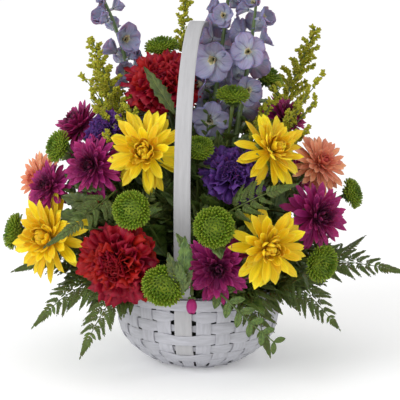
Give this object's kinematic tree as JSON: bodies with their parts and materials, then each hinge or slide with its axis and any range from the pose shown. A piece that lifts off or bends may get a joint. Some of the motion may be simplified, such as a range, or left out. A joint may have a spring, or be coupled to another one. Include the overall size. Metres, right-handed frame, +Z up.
{
  "type": "flower basket arrangement",
  "caption": "Low round basket of white painted woven splint with a fixed bow handle, filled with wet foam and a dome of mixed cut flowers, spikes and fern fronds.",
  "frame": {"origin": "centre of the flat underside of the basket, on the surface it stands on", "axes": "+Z up; -Y towards the front of the arrangement; +X to the right as seen from the front"},
  "size_m": [0.4004, 0.2987, 0.4203],
  "materials": {
    "white_splint": "flat wooden splint under thin white paint, satin to matte",
    "liner_plastic": "thin dark green moulded plastic",
    "wet_foam": "crumbly wet floral foam, matte",
    "yellow_petals": "soft petals, gold at the centre and paler at the edges",
    "red_petals": "soft ruffled petals, deep red with crimson highlights",
    "magenta_petals": "soft petals, magenta with a dark centre",
    "violet_petals": "soft ruffled petals, deep violet",
    "peach_petals": "soft petals, peach with a coral centre",
    "green_petals": "small quilled petals, lime green with dark gaps",
    "delphinium_petals": "thin petals, pale lavender blue with a cream and olive eye",
    "goldenrod_florets": "tiny yellow green florets on green side stems",
    "leaf": "leaf green, satin, paler along the ribs"
  },
  "bodies": {
    "root": {"basket_bowl": "white_splint", "broad_leaf_left": "leaf", "delphinium_centre": "delphinium_petals", "delphinium_left": "delphinium_petals", "delphinium_right": "delphinium_petals", "fern_frond_back": "leaf", "fern_frond_back_left": "leaf", "fern_frond_back_right": "leaf", "fern_frond_far_left": "leaf", "fern_frond_far_right": "leaf", "fern_frond_front": "leaf", "fern_frond_front_left": "leaf", "fern_frond_low_left": "leaf", "fern_frond_low_right": "leaf", "foam": "wet_foam", "goldenrod_back": "goldenrod_florets", "goldenrod_centre": "goldenrod_florets", "goldenrod_left": "goldenrod_florets", "goldenrod_right": "goldenrod_florets", "green_button_mum_back_left": "green_petals", "green_button_mum_back_right": "green_petals", "green_button_mum_far_left": "green_petals", "green_button_mum_front": "green_petals", "green_button_mum_front_left": "green_petals", "green_button_mum_left": "green_petals", "green_button_mum_low_front": "green_petals", "green_button_mum_low_right": "green_petals", "green_button_mum_right": "green_petals", "green_button_mum_top": "green_petals", "green_button_mum_top_left": "green_petals", "green_button_mum_top_right": "green_petals", "green_button_mum_upper_front": "green_petals", "handle": "white_splint", "liner": "liner_plastic", "magenta_bud_front": "magenta_petals", "magenta_mum_back": "magenta_petals", "magenta_mum_left": "magenta_petals", "magenta_mum_low_front": "magenta_petals", "magenta_mum_right": "magenta_petals", "magenta_mum_top_left": "magenta_petals", "magenta_mum_upper_left": "magenta_petals", "magenta_mum_upper_right": "magenta_petals", "peach_mum_back": "peach_petals", "peach_mum_left": "peach_petals", "peach_mum_right": "peach_petals", "red_carnation_back": "red_petals", "red_carnation_low_left": "red_petals", "red_carnation_top": "red_petals", "rim_inner_hoop": "white_splint", "rim_outer_hoop": "white_splint", "violet_carnation_front": "violet_petals", "violet_carnation_left": "violet_petals", "yellow_mum_back": "yellow_petals", "yellow_mum_left": "yellow_petals", "yellow_mum_low_right": "yellow_petals", "yellow_mum_upper_left": "yellow_petals", "yellow_mum_upper_right": "yellow_petals"}
  },
  "joints": []
}
